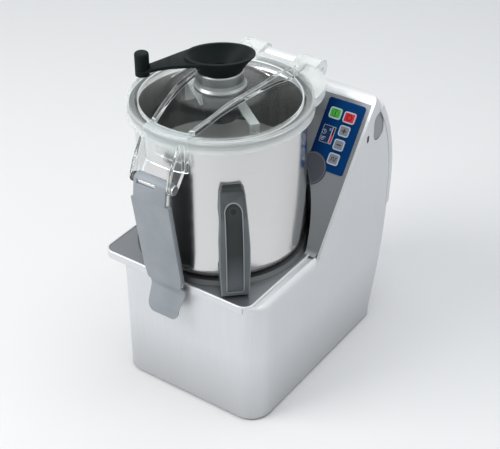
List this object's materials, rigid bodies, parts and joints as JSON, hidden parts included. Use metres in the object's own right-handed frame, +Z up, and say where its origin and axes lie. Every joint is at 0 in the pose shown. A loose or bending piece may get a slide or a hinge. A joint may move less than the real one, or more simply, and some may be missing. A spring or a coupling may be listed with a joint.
{
  "type": "vertical cutter mixer",
  "caption": "Tabletop vertical cutter mixer: rounded steel base with sloping control panel, lidded steel bowl, crank scraper, front latch lever and spinning knives.",
  "frame": {"origin": "on the bowl's vertical axis, in the plane the feet stand on", "axes": "+Z up along the bowl's axis, -Y toward the latch side (front), +X to the right seen from the front"},
  "size_m": [0.274, 0.4103, 0.5],
  "materials": {
    "satin_steel": "satin",
    "polished_steel": "polished",
    "blade_steel": "ground",
    "tray_grey": "satin",
    "clear_lid": "clear gloss",
    "latch_grey": "matt",
    "handle_grey": "matt",
    "handle_dark": "matt",
    "crank_black": "semi gloss",
    "label_blue": "satin",
    "badge_grey": "satin",
    "key_green": "satin",
    "key_red": "satin",
    "key_grey": "satin",
    "display_dark": "gloss",
    "foot_rubber": "matt",
    "seal_rubber": "matt",
    "cap_grey": "matt",
    "motor_metal": "cast",
    "rotor_steel": "turned",
    "board_green": "matt",
    "gland_black": "matt"
  },
  "bodies": {
    "base": {"housing_shell": "satin_steel", "tower_shell": "satin_steel", "deck_tray": "tray_grey", "deck_lip": "satin_steel", "rear_cover": "satin_steel", "cover_screw_1": "polished_steel", "cover_screw_2": "polished_steel", "cover_screw_3": "polished_steel", "cover_screw_4": "polished_steel", "base_plate": "satin_steel", "foot_front_left": "foot_rubber", "foot_front_right": "foot_rubber", "foot_rear_left": "foot_rubber", "foot_rear_right": "foot_rubber", "side_cap_left": "cap_grey", "side_cap_right": "cap_grey", "cable_gland": "gland_black", "bowl_seat": "tray_grey", "bowl": "polished_steel", "bowl_tube": "polished_steel", "bowl_handle": "handle_grey", "handle_insert": "handle_dark", "handle_screw": "polished_steel", "hinge_bracket": "satin_steel", "hinge_pin": "polished_steel", "control_overlay": "label_blue", "display_window": "display_dark", "panel_badge": "badge_grey", "control_board": "board_green", "motor_flange": "motor_metal", "shaft_seal": "seal_rubber", "motor_housing": "motor_metal", "motor_stator": "rotor_steel"},
    "lid": {"lid_panel": "clear_lid", "lid_gasket": "seal_rubber", "lid_strap": "clear_lid", "latch_pin": "polished_steel", "neck_ring": "polished_steel"},
    "crank": {"crank_arm": "crank_black", "scraper_hub": "crank_black", "scraper_arm_a": "clear_lid", "scraper_arm_b": "clear_lid"},
    "grip": {"crank_grip": "crank_black"},
    "latch": {"latch_lever": "latch_grey", "paddle_pin": "polished_steel"},
    "paddle": {"latch_paddle": "latch_grey"},
    "rotor": {"motor_shaft": "rotor_steel", "motor_armature": "rotor_steel", "cooling_fan": "gland_black", "rotor_hub": "crank_black", "blade_lower": "blade_steel", "blade_upper": "blade_steel"},
    "key_start": {"key_start": "key_green"},
    "key_stop": {"key_stop": "key_red"},
    "key_plus": {"key_plus": "key_grey"},
    "key_minus": {"key_minus": "key_grey"},
    "key_pulse": {"key_pulse": "key_grey"}
  },
  "joints": [
    {"name": "lid_hinge", "type": "hinge", "parent": "base", "child": "lid", "pos_m": [0, 0.152, 0.424], "axis": [-1, 0, 0], "range_deg": [0, 88]},
    {"name": "crank_spin", "type": "hinge", "parent": "lid", "child": "crank", "pos_m": [0, 0, 0.45], "axis": [0, 0, 1], "continuous": true},
    {"name": "grip_spin", "type": "hinge", "parent": "crank", "child": "grip", "pos_m": [-0.07959, -0.06538, 0.48], "axis": [0, 0, 1], "continuous": true},
    {"name": "latch_swing", "type": "hinge", "parent": "lid", "child": "latch", "pos_m": [0.002, -0.152, 0.372], "axis": [-1, 0, 0], "range_deg": [0, 100]},
    {"name": "paddle_tilt", "type": "hinge", "parent": "latch", "child": "paddle", "pos_m": [0.002, -0.1365, 0.206], "axis": [-1, 0, 0], "range_deg": [0, 10], "stiffness_Nm_per_rad": 0.4, "springref_deg": -8.59},
    {"name": "rotor_spin", "type": "hinge", "parent": "base", "child": "rotor", "pos_m": [0, 0, 0.2], "axis": [0, 0, 1], "continuous": true},
    {"name": "key_start_press", "type": "slide", "parent": "base", "child": "key_start", "axis": [0, 0.8021, -0.5972], "range_m": [0, 0.0008], "stiffness_N_per_m": 600, "springref_m": -0.0006},
    {"name": "key_stop_press", "type": "slide", "parent": "base", "child": "key_stop", "axis": [0, 0.8021, -0.5972], "range_m": [0, 0.0008], "stiffness_N_per_m": 600, "springref_m": -0.0006},
    {"name": "key_plus_press", "type": "slide", "parent": "base", "child": "key_plus", "axis": [0, 0.8021, -0.5972], "range_m": [0, 0.0008], "stiffness_N_per_m": 600, "springref_m": -0.0006},
    {"name": "key_minus_press", "type": "slide", "parent": "base", "child": "key_minus", "axis": [0, 0.8021, -0.5972], "range_m": [0, 0.0008], "stiffness_N_per_m": 600, "springref_m": -0.0006},
    {"name": "key_pulse_press", "type": "slide", "parent": "base", "child": "key_pulse", "axis": [0, 0.8021, -0.5972], "range_m": [0, 0.0008], "stiffness_N_per_m": 600, "springref_m": -0.0006}
  ]
}
